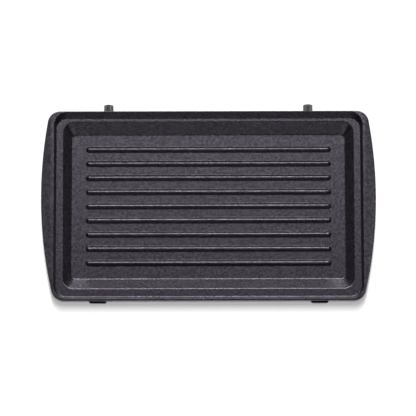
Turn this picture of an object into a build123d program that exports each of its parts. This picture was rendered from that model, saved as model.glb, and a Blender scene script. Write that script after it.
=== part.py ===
"""Removable grill plate of a contact grill, in millimetres.

The plate lies with its cooking side up (+Z), its hinge edge to the back (+Y) and its
latch edge to the front (-Y). The origin is the centre of the heater contact ring that
it rests on.
"""

import math
import os

from build123d import *

# Outline seen from above
PLATE_DEPTH = 145.3
EAR_SPAN = 254.5
EAR_RADIUS = 327.0
EAR_APEX_Y = 8.2
OUTLINE_CORNER = 9.5

# Raised lip around the ledge, in from the widest place of the ears
EAR_WIDTH = 9.7
LIP_HEIGHT = 4.5
LIP_RUN = 1.55
LIP_RUN_BACK = 4.7
LIP_CORNER = 10.5
LIP_LAND_FRONT = 1.75
LIP_LAND_BACK = 0.3
LIP_LAND_SIDE = 1.0

# Flat ledge between the lip and the cooking recess
LEDGE_SIDE = 5.2
LEDGE_FRONT = 6.3
LEDGE_BACK = 2.6
LEDGE_CORNER = 8.0

# Cooking recess
RECESS_DEPTH = 8.0
WALL_RUN_SIDE = 6.45
WALL_RUN_FRONT = 8.3
WALL_RUN_BACK = 8.95
WALL_TOP_CORNER = 8.5
FLOOR_CORNER = 3.5

# Ridges on the recess floor, as many as its depth takes
RIDGE_PITCH = 10.92
RIDGE_EDGE_ROOM = 8.0
RIDGE_END_GAP = 10.6
RIDGE_SHIFT_BACK = 0.4
RIDGE_FOOT = 4.9
RIDGE_CREST = 1.0
RIDGE_HEIGHT = 2.0

# Casting thicknesses
FLOOR_THICKNESS = 3.0
WALL_THICKNESS = 3.0
FLANGE_THICKNESS = 3.0
RIM_WALL = 2.1

# Ears: how far they bend before their straight slope, and that slope in degrees
EAR_BEND = 2.5
EAR_SLOPE = 9.5

# Edge rounding
OUTLINE_ROUND = 0.8
OUTLINE_ROUND_UNDER = 0.4
WALL_TOP_ROUND = 1.0
FLOOR_ROUND = 1.0
LEDGE_ROUND = 0.8
LIP_ROUND = 0.25
RIDGE_FOOT_ROUND = 0.3
RIDGE_CREST_ROUND = 1.1
PAN_EDGE_ROUND = 2.0
BOSS_ROUND = 1.5

# Heater contact ring, set in from the floor's edge, and the sensor pad inside it
RING_SIDE_GAP = 16.35
RING_END_GAP = 13.325
RING_WIDTH = 14.0
RING_CORNER = 30.0
RING_HEIGHT = 2.5
SENSOR_PAD_RADIUS = 13.0
RING_EDGE_CHAMFER = 0.5

# Hinge pins at the back, each with a thinner spigot held in the casting
PIN_RADIUS = 3.6
PIN_INSET = 41.25
PIN_REACH = 6.4
PIN_HEIGHT = 7.0
PIN_CHAMFER = 0.5
PIN_SPIGOT_RADIUS = 2.5
PIN_SPIGOT_LENGTH = 8.0
PIN_BOSS_WALL = 3.5
PIN_BOSS_SETBACK = 0.5

# Latch tongues at the front, each with a narrower root held in the casting
TONGUE_INSET = 33.35
TONGUE_WIDTH = 13.2
TONGUE_THICKNESS = 3.0
TONGUE_REACH = 0.95
TONGUE_GAP = 0.3
TONGUE_CORNER = 1.3
TONGUE_ROOT_WIDTH = 9.0
TONGUE_ROOT_LENGTH = 7.5
TONGUE_BOSS_WALL = 2.5
TONGUE_BOSS_SETBACK = 1.65

# Gussets under the ears
GUSSET_COUNT = 3
GUSSET_PITCH = 34.0
GUSSET_THICKNESS = 2.5
GUSSET_REACH = 5.5

# How far joined features run into each other, and how closely an edge is picked by its place
MERGE_DEPTH = 1.0
PICK_TOLERANCE = 0.1

# Heights, from the contact ring's face up
underside = RING_HEIGHT
floor_top = underside + FLOOR_THICKNESS
ledge_top = floor_top + RECESS_DEPTH
lip_top = ledge_top + LIP_HEIGHT
ledge_underside = ledge_top - FLANGE_THICKNESS
flange_underside = lip_top - FLANGE_THICKNESS
crest_top = floor_top + RIDGE_HEIGHT

# Each outline is its half width, its front edge and its back edge
front_edge = -PLATE_DEPTH / 2
back_edge = PLATE_DEPTH / 2
lip = (EAR_SPAN / 2 - EAR_WIDTH, front_edge + LIP_LAND_FRONT, back_edge - LIP_LAND_BACK)
ledge = (lip[0] - LIP_RUN, lip[1] + LIP_RUN, lip[2] - LIP_RUN_BACK)
wall_top = (ledge[0] - LEDGE_SIDE, ledge[1] + LEDGE_FRONT, ledge[2] - LEDGE_BACK)
floor = (wall_top[0] - WALL_RUN_SIDE, wall_top[1] + WALL_RUN_FRONT, wall_top[2] - WALL_RUN_BACK)
recess_y = (floor[1] + floor[2]) / 2
ridges_y = recess_y + RIDGE_SHIFT_BACK
recess_depth_y = floor[2] - floor[1]

# The rim wall stands outside the lip's slope by its thickness at the flange's underside
lip_rise = (flange_underside - ledge_top) / LIP_HEIGHT
rim = (
    ledge[0] + lip_rise * LIP_RUN + RIM_WALL,
    ledge[1] - lip_rise * LIP_RUN - RIM_WALL,
    ledge[2] + lip_rise * LIP_RUN_BACK + RIM_WALL,
)

# Ridges and contact ring, from the recess floor
ridge_count = 1 + math.floor((recess_depth_y - 2 * RIDGE_EDGE_ROOM) / RIDGE_PITCH)
ridge_length = 2 * (floor[0] - RIDGE_END_GAP)
ring_length = 2 * (floor[0] - RING_SIDE_GAP)
ring_depth = recess_depth_y - 2 * RING_END_GAP

# Where the pins and tongues seat on their bosses
pin_spacing = 2 * (lip[0] - PIN_INSET)
tongue_spacing = 2 * (lip[0] - TONGUE_INSET)
pin_boss_radius = PIN_SPIGOT_RADIUS + PIN_BOSS_WALL
pin_seat = back_edge - PIN_BOSS_SETBACK
pin_tip = back_edge + PIN_REACH
tongue_seat = front_edge + TONGUE_BOSS_SETBACK
tongue_tip = front_edge - TONGUE_REACH
tongue_top = ledge_underside - TONGUE_GAP
tongue_middle = tongue_top - TONGUE_THICKNESS / 2


def grown(outline, at_side, at_front, at_back):
    """The outline moved outward at its sides, its front and its back."""
    half_width, front, back = outline
    return (half_width + at_side, front - at_front, back + at_back)


def frame_at(height, outline, corner):
    """A rounded rectangle with the given half width, front and back at a height."""
    half_width, front, back = outline
    with BuildSketch(Plane.XY.offset(height)) as section:
        with Locations((0, (front + back) / 2)):
            RectangleRounded(2 * half_width, back - front, corner)
    return section.sketch


def shell_outline(height):
    """The recess wall's outline moved outward by the wall thickness, at a height."""
    rise = (height - floor_top) / RECESS_DEPTH
    offsets = [
        rise * run + WALL_THICKNESS * math.hypot(run, RECESS_DEPTH) / RECESS_DEPTH
        for run in (WALL_RUN_SIDE, WALL_RUN_FRONT, WALL_RUN_BACK)
    ]
    return grown(floor, *offsets)


def level(height):
    """A test for edges that lie wholly at a height."""

    def lies_at(edge):
        box = edge.bounding_box()
        return max(abs(box.min.Z - height), abs(box.max.Z - height)) < PICK_TOLERANCE

    return lies_at


def within(outline, margin=PICK_TOLERANCE):
    """A test for edges whose centre lies inside an outline, or on it."""
    half_width, front, back = grown(outline, margin, margin, margin)

    def lies_within(edge):
        centre = edge.center()
        return abs(centre.X) < half_width and front < centre.Y < back

    return lies_within


def across(y):
    """The plane across the plate at y, facing the front."""
    return Plane.XZ.offset(-y)


def pair(spacing):
    """The X places of a left and a right piece, by name."""
    return {"left": -spacing / 2, "right": spacing / 2}


# Grill plate: the flange with its bowed ears

with BuildPart() as grill_plate:
    with BuildSketch(Plane.XY.offset(flange_underside)) as flange_outline:
        with Locations((EAR_SPAN / 2 - EAR_RADIUS, EAR_APEX_Y)):
            Circle(EAR_RADIUS)
        with Locations((EAR_RADIUS - EAR_SPAN / 2, EAR_APEX_Y)):
            Circle(EAR_RADIUS, mode=Mode.INTERSECT)
        Rectangle(EAR_SPAN, PLATE_DEPTH, mode=Mode.INTERSECT)
        fillet(flange_outline.vertices(), OUTLINE_CORNER)
    extrude(amount=FLANGE_THICKNESS)

    # The ears bend down outside the lip and fall away in a straight slope
    crown_line = lip[0] + LIP_LAND_SIDE
    bend_end = crown_line + EAR_BEND
    bend_drop = EAR_BEND * math.tan(math.radians(EAR_SLOPE / 2))
    edge_drop = bend_drop + (EAR_SPAN / 2 - bend_end) * math.tan(math.radians(EAR_SLOPE))
    with BuildSketch(across(PLATE_DEPTH)):
        for side in (-1, 1):
            crown_start = (side * crown_line, lip_top)
            slope_start = (side * bend_end, lip_top - bend_drop)
            ear_edge = (side * EAR_SPAN / 2, lip_top - edge_drop)
            with BuildLine():
                TangentArc(crown_start, slope_start, tangent=(side, 0))
                Polyline(
                    slope_start,
                    ear_edge,
                    (ear_edge[0], lip_top + edge_drop),
                    (crown_start[0], lip_top + edge_drop),
                    crown_start,
                )
            make_face()
    extrude(amount=2 * PLATE_DEPTH, mode=Mode.SUBTRACT)

    # The outline's edges are rounded above and below
    top_outline = grill_plate.edges().filter_by(
        lambda edge: edge.bounding_box().min.Z > flange_underside
        and abs(abs(edge.center().X) - crown_line) > PICK_TOLERANCE
    )
    fillet(top_outline, OUTLINE_ROUND)
    fillet(grill_plate.edges().filter_by(level(flange_underside)), OUTLINE_ROUND_UNDER)

    # Rim wall below the lip, and the pan below the ledge
    rim_height = flange_underside - ledge_underside + MERGE_DEPTH
    extrude(frame_at(ledge_underside, rim, LIP_CORNER), amount=rim_height)
    loft(
        sections=[
            frame_at(underside, shell_outline(underside), FLOOR_CORNER + WALL_THICKNESS),
            frame_at(ledge_underside, shell_outline(ledge_underside), WALL_TOP_CORNER),
        ]
    )
    fillet(grill_plate.edges().filter_by(level(underside)), PAN_EDGE_ROUND)

    # Bosses for the pins and the tongues, grown out of the pan
    with BuildSketch(across(pin_seat)):
        for place in pair(pin_spacing).values():
            with Locations((place, PIN_HEIGHT)):
                Circle(pin_boss_radius)
            with Locations((place, (PIN_HEIGHT + ledge_top) / 2)):
                Rectangle(2 * pin_boss_radius, ledge_top - PIN_HEIGHT)
    extrude(amount=pin_seat - floor[2])
    tongue_boss_foot = tongue_top - TONGUE_THICKNESS - TONGUE_BOSS_WALL
    with BuildSketch(across(floor[1])) as tongue_bosses:
        for place in pair(tongue_spacing).values():
            with Locations((place, (tongue_boss_foot + ledge_top) / 2)):
                Rectangle(TONGUE_WIDTH + 2 * TONGUE_BOSS_WALL, ledge_top - tongue_boss_foot)
        fillet(tongue_bosses.vertices().group_by(Axis.Y)[0], BOSS_ROUND)
    extrude(amount=floor[1] - tongue_seat)

    # Lip opening down to the ledge, then the cooking recess down to its floor
    loft(
        sections=[frame_at(ledge_top, ledge, LEDGE_CORNER), frame_at(lip_top, lip, LIP_CORNER)],
        mode=Mode.SUBTRACT,
    )
    loft(
        sections=[
            frame_at(floor_top, floor, FLOOR_CORNER),
            frame_at(ledge_top, wall_top, WALL_TOP_CORNER),
        ],
        mode=Mode.SUBTRACT,
    )
    fillet(grill_plate.edges().filter_by(level(ledge_top)).filter_by(within(wall_top)), WALL_TOP_ROUND)
    fillet(grill_plate.edges().filter_by(level(floor_top)), FLOOR_ROUND)
    inner_edge = within(wall_top, WALL_TOP_ROUND)
    ledge_edges = grill_plate.edges().filter_by(level(ledge_top)).filter_by(within(ledge))
    fillet(ledge_edges.filter_by(lambda edge: not inner_edge(edge)), LEDGE_ROUND)
    fillet(grill_plate.edges().filter_by(level(lip_top)).filter_by(within(lip)), LIP_ROUND)

    # Ridges with sloped sides and round ends
    ridge_slope = math.degrees(math.atan2(RIDGE_FOOT - RIDGE_CREST, 2 * RIDGE_HEIGHT))
    with BuildSketch(Plane.XY.offset(floor_top)):
        with Locations((0, ridges_y)):
            with GridLocations(0, RIDGE_PITCH, 1, ridge_count):
                SlotOverall(ridge_length, RIDGE_FOOT)
    extrude(amount=RIDGE_HEIGHT, taper=ridge_slope)
    fillet(grill_plate.edges().filter_by(level(crest_top)), RIDGE_CREST_ROUND)
    field_depth = ridge_count * RIDGE_PITCH / 2
    ridge_field = (ridge_length / 2, ridges_y - field_depth, ridges_y + field_depth)
    ridge_feet = grill_plate.edges().filter_by(level(floor_top)).filter_by(within(ridge_field))
    fillet(ridge_feet, RIDGE_FOOT_ROUND)

    # Heater contact ring and the sensor pad inside it
    with BuildSketch():
        RectangleRounded(ring_length, ring_depth, RING_CORNER)
        RectangleRounded(
            ring_length - 2 * RING_WIDTH,
            ring_depth - 2 * RING_WIDTH,
            RING_CORNER - RING_WIDTH,
            mode=Mode.SUBTRACT,
        )
        Circle(SENSOR_PAD_RADIUS)
    extrude(amount=underside + MERGE_DEPTH)
    chamfer(grill_plate.edges().filter_by(level(0)), RING_EDGE_CHAMFER)

    # Gussets between the rim wall and the ears
    for side in (-1, 1):
        root = side * (rim[0] - MERGE_DEPTH)
        tip = side * (rim[0] + GUSSET_REACH)
        gusset_top = flange_underside + MERGE_DEPTH
        for step in range(GUSSET_COUNT):
            gusset_y = EAR_APEX_Y + (step - (GUSSET_COUNT - 1) / 2) * GUSSET_PITCH
            with BuildSketch(across(gusset_y)):
                with BuildLine():
                    Polyline(
                        (root, gusset_top),
                        (tip, gusset_top),
                        (tip, flange_underside),
                        (side * rim[0], ledge_underside),
                        (root, ledge_underside),
                        close=True,
                    )
                make_face()
            extrude(amount=GUSSET_THICKNESS / 2, both=True)

    # Bores for the pins' spigots and pockets for the tongues' roots
    with BuildSketch(across(pin_seat)):
        for place in pair(pin_spacing).values():
            with Locations((place, PIN_HEIGHT)):
                Circle(PIN_SPIGOT_RADIUS)
    extrude(amount=PIN_SPIGOT_LENGTH, mode=Mode.SUBTRACT)
    with BuildSketch(across(tongue_seat)):
        for place in pair(tongue_spacing).values():
            with Locations((place, tongue_middle)):
                Rectangle(TONGUE_ROOT_WIDTH, TONGUE_THICKNESS)
    extrude(amount=-TONGUE_ROOT_LENGTH, mode=Mode.SUBTRACT)

grill_plate.part.label = "grill_plate"
os.makedirs("parts", exist_ok=True)
export_step(grill_plate.part, "parts/grill_plate.step")

# Hinge pins

for name, place in pair(pin_spacing).items():
    with BuildPart() as hinge_pin:
        with BuildSketch(across(pin_seat)):
            with Locations((place, PIN_HEIGHT)):
                Circle(PIN_RADIUS)
        extrude(amount=pin_seat - pin_tip)
        chamfer(hinge_pin.faces().sort_by(Axis.Y)[-1].edges(), PIN_CHAMFER)
        with BuildSketch(across(pin_seat)):
            with Locations((place, PIN_HEIGHT)):
                Circle(PIN_SPIGOT_RADIUS)
        extrude(amount=PIN_SPIGOT_LENGTH)
    hinge_pin.part.label = f"{name}_hinge_pin"
    export_step(hinge_pin.part, f"parts/{name}_hinge_pin.step")

# Latch tongues

for name, place in pair(tongue_spacing).items():
    with BuildPart() as latch_tongue:
        with BuildSketch(Plane.XY.offset(tongue_top)) as blade:
            with Locations((place, (tongue_tip + tongue_seat) / 2)):
                Rectangle(TONGUE_WIDTH, tongue_seat - tongue_tip)
            fillet(blade.vertices().group_by(Axis.Y)[0], TONGUE_CORNER)
            with Locations((place, tongue_seat + TONGUE_ROOT_LENGTH / 2)):
                Rectangle(TONGUE_ROOT_WIDTH, TONGUE_ROOT_LENGTH)
        extrude(amount=-TONGUE_THICKNESS)
    latch_tongue.part.label = f"{name}_latch_tongue"
    export_step(latch_tongue.part, f"parts/{name}_latch_tongue.step")
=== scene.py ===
"""Looks, camera and light for the removable grill plate, in metres and in the row frame."""

import math

import bpy
from mathutils import Matrix, Vector


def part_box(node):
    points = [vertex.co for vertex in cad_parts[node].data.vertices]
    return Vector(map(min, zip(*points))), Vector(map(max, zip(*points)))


MM = 0.001
WHITE = (1.0, 1.0, 1.0)

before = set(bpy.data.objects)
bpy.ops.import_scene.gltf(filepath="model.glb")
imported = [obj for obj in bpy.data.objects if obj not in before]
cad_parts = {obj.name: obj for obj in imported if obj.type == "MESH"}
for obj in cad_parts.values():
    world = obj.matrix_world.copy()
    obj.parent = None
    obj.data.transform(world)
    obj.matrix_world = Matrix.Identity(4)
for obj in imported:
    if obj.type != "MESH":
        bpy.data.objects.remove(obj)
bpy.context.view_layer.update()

# Where the camera stands: nearly straight above, a little towards the front
CAMERA_TILT = math.radians(8.0)
CAMERA_ROLL = math.radians(-0.13)
CAMERA_DISTANCE = 2.0
CAMERA_AIM = Vector((-0.38 * MM, -1.575 * MM, 14.0 * MM))
SEEN_WIDTH = 316.2 * MM
SENSOR_WIDTH = 36.0
CLIP_NEAR = 0.1
CLIP_FAR = 20.0

# Which part of a noise's range is spread over a whole mix
NOISE_LOW = 0.35
NOISE_HIGH = 0.65

# The non-stick coating: colour, gloss and the size of its grain
COATING_DARK = (0.0182, 0.0160, 0.0212)
COATING_LIGHT = (0.0374, 0.0328, 0.0434)
COATING_METALLIC = 0.75
COATING_IOR = 1.43
COATING_ROUGHNESS = 0.27
COATING_ROUGHNESS_SPREAD = 0.03
FLAKE_SIZE = 1.7 * MM
FLAKE_SHARE = 0.85
CLOUD_SIZE = 22 * MM
PEEL_SIZE = 0.85 * MM
PEEL_DEPTH = 0.05 * MM
GRAIN_SIZE = 0.35 * MM
GRAIN_DEPTH = 0.008 * MM

# Hinge pins: painted shade in a dark line along the crest, and a painted highlight in blotchy grey
# bands on both sides of it
CREST_HALF_WIDTH = 1.1 * MM
CREST_PAINTED_SHADE = (0.020, 0.019, 0.022)
HIGHLIGHT_BAND_PLACE = 1.95 * MM
HIGHLIGHT_BAND_WIDTH = 1.1 * MM
PAINTED_HIGHLIGHT_COLOUR = (0.23, 0.225, 0.235)
HIGHLIGHT_LEAST = 0.5
BLOTCH_SIZE = 0.9 * MM
BLOTCH_LOW = 0.35
BLOTCH_HIGH = 0.6

# Latch tongues: dull, and painted nearly black as shade under the rim's edge
TONGUE_SHADE_DARK = (0.004, 0.0038, 0.005)
TONGUE_SHADE_LIGHT = (0.009, 0.0085, 0.011)
TONGUE_ROUGHNESS = 0.6

# The bare milled faces that touch the heater, with rings around the origin.
# A wave texture's rings stand one unit apart at this scale.
BARE_METAL = (0.62, 0.62, 0.63)
BARE_ROUGHNESS = 0.34
CONTACT_DEPTH = 0.12 * MM
MILLING_PITCH = 0.8 * MM
MILLING_DEPTH = 0.004 * MM
MILLING_DISTORTION = 0.4
MILLED_SHADE = 0.86
MILLED_ROUGHNESS_GAIN = 0.06
RINGS_ONE_APART = 0.314

# The floor and the surroundings
FLOOR_SIZE = 6.0
FLOOR_COLOUR = (0.72, 0.72, 0.72)
FLOOR_ROUGHNESS = 0.9
FLOOR_SPECULAR = 0.1
FIBRE_SIZE = 3 * MM
FIBRE_SHADE = 0.985
WORLD_STRENGTH = 0.04

# How far the two sets of lights stand from the origin
PLATE_LIGHTS_AWAY = 1.2
PAPER_LIGHTS_AWAY = 2.6


def shaded(colour, share):
    """A colour with each channel times a share."""
    return tuple(share * channel for channel in colour)


class Nodes:
    """A material's node tree, with short calls for the nodes used here."""

    def __init__(self, name):
        self.material = bpy.data.materials.new(name)
        self.material.use_nodes = True
        self.tree = self.material.node_tree
        self.tree.nodes.clear()
        self.output = self.add("ShaderNodeOutputMaterial")
        self.shader = self.add("ShaderNodeBsdfPrincipled")
        self.link(self.shader.outputs["BSDF"], self.output.inputs["Surface"])
        self.place = self.add("ShaderNodeTexCoord").outputs["Object"]

    def add(self, kind):
        return self.tree.nodes.new(kind)

    def link(self, source, target):
        self.tree.links.new(source, target)

    def feed(self, socket, value):
        """Links a socket to another, or sets its own value."""
        if isinstance(value, bpy.types.NodeSocket):
            self.link(value, socket)
        else:
            socket.default_value = value

    def finish(self, **inputs):
        """Feeds the shader's inputs, named with underscores for spaces, and gives the material."""
        for name, value in inputs.items():
            self.feed(self.shader.inputs[name.replace("_", " ")], value)
        return self.material

    def along(self, axis):
        """The place along an axis, in metres."""
        node = self.add("ShaderNodeSeparateXYZ")
        self.link(self.place, node.inputs[0])
        return node.outputs[axis]

    def noise(self, size, detail):
        node = self.add("ShaderNodeTexNoise")
        node.inputs["Scale"].default_value = 1.0 / size
        node.inputs["Detail"].default_value = detail
        self.link(self.place, node.inputs["Vector"])
        return node.outputs["Fac"]

    def math(self, operation, first, second=0.0):
        node = self.add("ShaderNodeMath")
        node.operation = operation
        self.feed(node.inputs[0], first)
        self.feed(node.inputs[1], second)
        return node.outputs["Value"]

    def span(self, value, low, high, to_low=0.0, to_high=1.0):
        """The value moved from one range to another, and held inside it."""
        node = self.add("ShaderNodeMapRange")
        self.feed(node.inputs["Value"], value)
        self.feed(node.inputs["From Min"], low)
        self.feed(node.inputs["From Max"], high)
        self.feed(node.inputs["To Min"], to_low)
        self.feed(node.inputs["To Max"], to_high)
        return node.outputs["Result"]

    def mix(self, share, first, second):
        """Two colours mixed, each a socket or red, green and blue."""
        node = self.add("ShaderNodeMix")
        node.data_type = "RGBA"
        self.feed(node.inputs[0], share)
        for socket, value in ((node.inputs[6], first), (node.inputs[7], second)):
            self.feed(socket, (*value, 1.0) if isinstance(value, tuple) else value)
        return node.outputs[2]

    def bump(self, height, depth, normal=None):
        node = self.add("ShaderNodeBump")
        node.inputs["Distance"].default_value = depth
        self.link(height, node.inputs["Height"])
        if normal is not None:
            self.link(normal, node.inputs["Normal"])
        return node.outputs["Normal"]


class Coating(Nodes):
    """The sprayed non-stick coating: flakes, faint clouds, orange peel and a fine grain."""

    def __init__(self, name):
        super().__init__(name)
        self.grain = self.noise(GRAIN_SIZE, detail=1.0)
        self.shader.inputs["IOR"].default_value = COATING_IOR
        self.shader.inputs["Metallic"].default_value = COATING_METALLIC

    def colour(self):
        flake = self.math("MULTIPLY", self.noise(FLAKE_SIZE, detail=0.0), FLAKE_SHARE)
        cloud = self.math("MULTIPLY", self.noise(CLOUD_SIZE, detail=3.0), 1.0 - FLAKE_SHARE)
        tone = self.span(self.math("ADD", flake, cloud), NOISE_LOW, NOISE_HIGH)
        return self.mix(tone, COATING_DARK, COATING_LIGHT)

    def roughness(self):
        cloud = self.noise(CLOUD_SIZE, detail=3.0)
        haze = self.math("MULTIPLY", self.math("ADD", self.grain, cloud), 0.5)
        dullest = COATING_ROUGHNESS + COATING_ROUGHNESS_SPREAD
        glossiest = COATING_ROUGHNESS - COATING_ROUGHNESS_SPREAD
        return self.span(haze, NOISE_LOW, NOISE_HIGH, dullest, glossiest)

    def normal(self):
        peel = self.bump(self.noise(PEEL_SIZE, detail=2.0), PEEL_DEPTH)
        return self.bump(self.grain, GRAIN_DEPTH, peel)


def casting_material(name):
    """The coating, and bare milled metal on the contact faces below."""
    nodes = Coating(name)
    bare = nodes.span(nodes.along("Z"), CONTACT_DEPTH, CONTACT_DEPTH / 2)
    rings = nodes.add("ShaderNodeTexWave")
    rings.wave_type = "RINGS"
    rings.rings_direction = "Z"
    rings.inputs["Scale"].default_value = RINGS_ONE_APART / MILLING_PITCH
    rings.inputs["Distortion"].default_value = MILLING_DISTORTION
    nodes.link(nodes.place, rings.inputs["Vector"])
    cuts = rings.outputs["Fac"]
    metal = nodes.mix(cuts, shaded(BARE_METAL, MILLED_SHADE), BARE_METAL)
    dullest = BARE_ROUGHNESS + MILLED_ROUGHNESS_GAIN
    metal_roughness = nodes.span(cuts, 0.0, 1.0, dullest, BARE_ROUGHNESS)
    return nodes.finish(
        Base_Color=nodes.mix(bare, nodes.colour(), metal),
        Roughness=nodes.span(bare, 0.0, 1.0, nodes.roughness(), metal_roughness),
        Metallic=nodes.span(bare, 0.0, 1.0, COATING_METALLIC, 1.0),
        Normal=nodes.bump(nodes.math("MULTIPLY", cuts, bare), MILLING_DEPTH, nodes.normal()),
    )


def pin_material(name, middle):
    """The coating of a hinge pin, with a blotchy painted highlight in two grey bands beside a
    painted shade line along its crest.
    """
    nodes = Coating(name)
    aside = nodes.math("ABSOLUTE", nodes.math("SUBTRACT", nodes.along("X"), middle))
    off_band = nodes.math("ABSOLUTE", nodes.math("SUBTRACT", aside, HIGHLIGHT_BAND_PLACE))
    band = nodes.span(off_band, HIGHLIGHT_BAND_WIDTH, HIGHLIGHT_BAND_WIDTH / 3)
    spots = nodes.noise(BLOTCH_SIZE, detail=2.0)
    blotch = nodes.span(spots, BLOTCH_LOW, BLOTCH_HIGH, HIGHLIGHT_LEAST, 1.0)
    # Painted highlight: two grey bands beside the crest, broken into blotches, where the pin's
    # sides would catch the light
    highlight_share = nodes.math("MULTIPLY", band, blotch)
    # Painted shade: a dark line along the crest, in place of the light the crest would catch
    crest = nodes.span(aside, CREST_HALF_WIDTH, CREST_HALF_WIDTH / 2)
    return nodes.finish(
        Base_Color=nodes.mix(crest, nodes.mix(highlight_share, nodes.colour(), PAINTED_HIGHLIGHT_COLOUR), CREST_PAINTED_SHADE),
        Roughness=nodes.roughness(),
        Normal=nodes.normal(),
    )


def shaded_tongue_material(name):
    """The coating of a latch tongue, dull, with painted shade making it nearly black."""
    nodes = Coating(name)
    return nodes.finish(
        # Painted shade: nearly black, for the shadow the tongue lies in under the rim's edge
        Base_Color=nodes.mix(nodes.noise(FLAKE_SIZE, detail=0.0), TONGUE_SHADE_DARK, TONGUE_SHADE_LIGHT),
        Roughness=TONGUE_ROUGHNESS,
        Normal=nodes.normal(),
    )


materials = {"grill_plate": casting_material("nonstick_casting")}
for side in ("left", "right"):
    pin, tongue = side + "_hinge_pin", side + "_latch_tongue"
    pin_low, pin_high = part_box(pin)
    pin_middle = (pin_low[0] + pin_high[0]) / 2
    materials[pin] = pin_material("highlit_pin_" + side, pin_middle)
    materials[tongue] = shaded_tongue_material("shaded_tongue_" + side)
for node_name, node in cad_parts.items():
    node.data.materials.clear()
    node.data.materials.append(materials[node_name])


# The paper floor that the plate lies on

half = FLOOR_SIZE / 2
corners = [(-half, -half, 0.0), (half, -half, 0.0), (half, half, 0.0), (-half, half, 0.0)]
floor_mesh = bpy.data.meshes.new("floor")
floor_mesh.from_pydata(corners, [], [(0, 1, 2, 3)])
floor = bpy.data.objects.new("floor", floor_mesh)
bpy.context.scene.collection.objects.link(floor)
paper = Nodes("floor_paper")
fibre = paper.noise(FIBRE_SIZE, detail=3.0)
paper.finish(
    Base_Color=paper.mix(fibre, shaded(FLOOR_COLOUR, FIBRE_SHADE), FLOOR_COLOUR),
    Roughness=FLOOR_ROUGHNESS,
    Specular_IOR_Level=FLOOR_SPECULAR,
)
floor_mesh.materials.append(paper.material)


# Light: dim white surroundings, and soft boxes for the plate and for the paper

world = bpy.data.worlds.new("studio")
bpy.context.scene.world = world
world.use_nodes = True
background = world.node_tree.nodes["Background"]
background.inputs["Color"].default_value = (*WHITE, 1.0)
background.inputs["Strength"].default_value = WORLD_STRENGTH


def soft_box(name, distance, azimuth, elevation, size, power):
    """A rectangular light that faces the origin, its size in metres and its power in watts.

    Azimuth 0 is at the back and turns towards the right.
    """
    light = bpy.data.lights.new(name, "AREA")
    light.shape = "RECTANGLE"
    light.size, light.size_y = size
    light.energy = power
    light.color = WHITE
    box = bpy.data.objects.new(name, light)
    turn, rise = math.radians(azimuth), math.radians(elevation)
    level = math.cos(rise)
    outward = Vector((math.sin(turn) * level, math.cos(turn) * level, math.sin(rise)))
    box.location = distance * outward
    box.rotation_mode = "QUATERNION"
    box.rotation_quaternion = outward.to_track_quat("Z", "Y")
    bpy.context.scene.collection.objects.link(box)
    return box


def light_only(lights, name, objects):
    """Lets these lights reach these objects and no others."""
    lit = bpy.data.collections.new(name)
    for lit_object in objects:
        lit.objects.link(lit_object)
    for light in lights:
        light.light_linking.receiver_collection = lit


plate_lights = [
    soft_box("back_low", PLATE_LIGHTS_AWAY, 0, 11.5, (0.8, 0.14), 8.0),
    soft_box("back_key", PLATE_LIGHTS_AWAY, 0, 38, (0.8, 0.28), 24.0),
    soft_box("back_high", PLATE_LIGHTS_AWAY, 0, 65, (0.8, 0.14), 8.5),
    soft_box("back_top", PLATE_LIGHTS_AWAY, 0, 82, (0.8, 0.14), 1.1),
    soft_box("right_key", PLATE_LIGHTS_AWAY, 90, 52, (0.5, 0.4), 2.5),
    soft_box("right_low", PLATE_LIGHTS_AWAY, 90, 12, (0.5, 0.2), 0.3),
    soft_box("left_key", PLATE_LIGHTS_AWAY, -90, 54, (0.5, 0.4), 1.2),
    soft_box("left_low", PLATE_LIGHTS_AWAY, -90, 12, (0.5, 0.2), 0.3),
    soft_box("front_low", PLATE_LIGHTS_AWAY, 180, 26, (1.5, 0.25), 3.7),
]
paper_lights = [
    soft_box("paper_key", PAPER_LIGHTS_AWAY, 0, 76, (0.2, 1.05), 68.0),
    soft_box("paper_fill", PAPER_LIGHTS_AWAY, 180, 84, (0.2, 0.2), 40.0),
]
light_only(plate_lights, "lit_plate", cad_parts.values())
light_only(paper_lights, "lit_paper", [floor])


# Camera

camera_data = bpy.data.cameras.new("camera")
camera_data.sensor_width = SENSOR_WIDTH
camera_data.lens = SENSOR_WIDTH * CAMERA_DISTANCE / SEEN_WIDTH
camera_data.clip_start = CLIP_NEAR
camera_data.clip_end = CLIP_FAR
camera = bpy.data.objects.new("camera", camera_data)
bpy.context.scene.collection.objects.link(camera)
away = Vector((0.0, -math.sin(CAMERA_TILT), math.cos(CAMERA_TILT)))
camera.matrix_world = (
    Matrix.Translation(CAMERA_AIM + CAMERA_DISTANCE * away)
    @ Matrix.Rotation(CAMERA_TILT, 4, "X")
    @ Matrix.Rotation(CAMERA_ROLL, 4, "Z")
)
bpy.context.scene.camera = camera
bpy.context.scene.view_settings.view_transform = "Standard"
